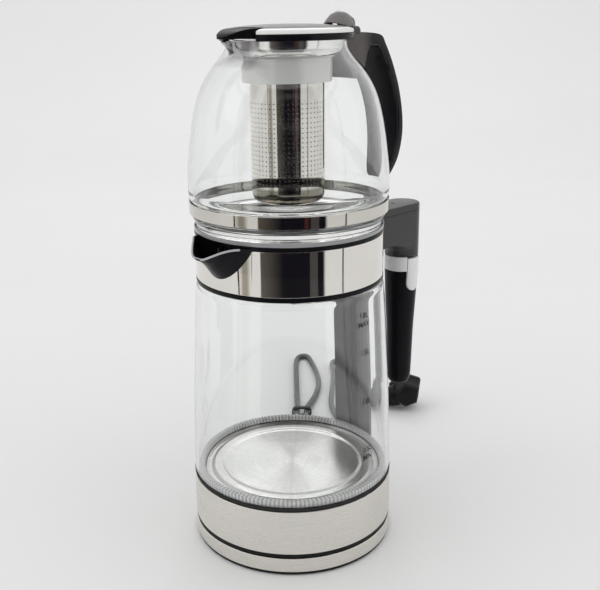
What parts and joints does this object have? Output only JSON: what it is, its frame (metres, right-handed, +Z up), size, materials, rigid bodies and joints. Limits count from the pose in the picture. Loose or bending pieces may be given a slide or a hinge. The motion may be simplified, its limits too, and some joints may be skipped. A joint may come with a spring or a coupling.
{
  "type": "tea maker",
  "caption": "Electric tea maker: a glass kettle on a cordless power base with a heated steel plate, and a glass teapot with an infuser standing on its lid.",
  "frame": {"origin": "centre of the flat boss under the power base, on the table", "axes": "+Z up along the body's axis, +X towards both handles, -X towards both spouts"},
  "size_m": [0.3528, 0.3076, 0.374],
  "materials": {
    "brushed_steel": "brushed round the body, satin",
    "polished_steel": "mirror polished",
    "spun_steel": "brushed in circles, satin",
    "screw_steel": "plain",
    "clear_glass": "clear, smooth",
    "clear_plastic": "clear, moulded ribs",
    "smoked_plastic": "translucent grey, glossy",
    "black_plastic": "glossy",
    "satin_black_plastic": "satin",
    "grey_plastic": "dark grey, semi-gloss",
    "rim_plastic": "grey, glossy",
    "silver_plastic": "silver, semi-gloss",
    "rubber": "matt",
    "cord_rubber": "semi-matt",
    "aluminium": "cast, matt",
    "brass": "nickel-brass, plain"
  },
  "bodies": {
    "base": {"base_foot_1": "rubber", "base_foot_2": "rubber", "base_foot_3": "rubber", "base_tray": "satin_black_plastic", "base_band": "brushed_steel", "base_top": "satin_black_plastic", "base_screw_1": "screw_steel", "base_screw_2": "screw_steel", "base_screw_3": "screw_steel", "base_connector": "satin_black_plastic", "strain_relief": "cord_rubber", "power_cord": "cord_rubber", "cord_tie": "satin_black_plastic", "plug_body": "satin_black_plastic", "plug_pin_1": "brass", "plug_pin_2": "brass"},
    "socket": {"kettle_socket": "satin_black_plastic"},
    "kettle": {"kettle_bottom": "satin_black_plastic", "kettle_screw_1": "screw_steel", "kettle_screw_2": "screw_steel", "kettle_screw_3": "screw_steel", "kettle_band": "brushed_steel", "base_housing": "satin_black_plastic", "kettle_seal": "rubber", "heating_plate": "spun_steel", "heating_element": "aluminium", "control_unit": "satin_black_plastic", "bimetal_disc": "brass", "glass_seat_ring": "clear_plastic", "kettle_glass": "clear_glass", "spine_cover": "smoked_plastic", "spine_lead": "rubber", "collar_gasket": "rubber", "collar_frame": "black_plastic", "collar_band": "polished_steel", "spout_filter": "satin_black_plastic", "handle_housing": "grey_plastic", "handle_cap": "grey_plastic", "handle_screw": "screw_steel", "indicator_lens": "smoked_plastic", "steam_switch": "satin_black_plastic", "handle_trim": "silver_plastic", "handle_grip": "black_plastic", "lever_pin": "screw_steel"},
    "switch": {"switch_lever": "silver_plastic"},
    "kettle_lid": {"kettle_lid_rim": "rim_plastic", "kettle_lid_disc": "polished_steel", "kettle_lid_seal": "rubber"},
    "teapot": {"teapot_glass": "clear_glass", "teapot_foot_band": "polished_steel", "teapot_neck_ring": "black_plastic", "teapot_handle": "grey_plastic", "teapot_handle_liner": "black_plastic", "lid_hinge_pin": "screw_steel"},
    "pot_lid": {"teapot_lid": "black_plastic", "teapot_lid_liner": "polished_steel", "thumb_tab": "smoked_plastic"},
    "flap": {"spout_flap": "black_plastic"},
    "infuser": {"infuser_funnel": "polished_steel", "infuser_basket": "polished_steel"}
  },
  "joints": [
    {"name": "kettle_lift", "type": "slide", "parent": "base", "child": "socket", "axis": [0, 0, 1], "range_m": [0, 0.15]},
    {"name": "kettle_turn", "type": "hinge", "parent": "socket", "child": "kettle", "pos_m": [0, 0, 0.024], "axis": [0, 0, 1], "continuous": true},
    {"name": "switch_press", "type": "hinge", "parent": "kettle", "child": "switch", "pos_m": [0.126, -0.01, 0.1826], "axis": [-1, 0, 0], "range_deg": [0, 8]},
    {"name": "kettle_lid_lift", "type": "slide", "parent": "kettle", "child": "kettle_lid", "axis": [0, 0, 1], "range_m": [0, 0.12]},
    {"name": "teapot_lift", "type": "slide", "parent": "kettle_lid", "child": "teapot", "axis": [0, 0, 1], "range_m": [0, 0.15]},
    {"name": "pot_lid_hinge", "type": "hinge", "parent": "teapot", "child": "pot_lid", "pos_m": [0.0555, 0, 0.3602], "axis": [0, 1, 0], "range_deg": [0, 75]},
    {"name": "spout_flap_hinge", "type": "hinge", "parent": "pot_lid", "child": "flap", "pos_m": [-0.036, 0, 0.3625], "axis": [0, 1, 0], "range_deg": [0, 50]},
    {"name": "infuser_turn", "type": "hinge", "parent": "teapot", "child": "infuser", "pos_m": [0, 0, 0.33], "axis": [0, 0, 1], "continuous": true}
  ]
}
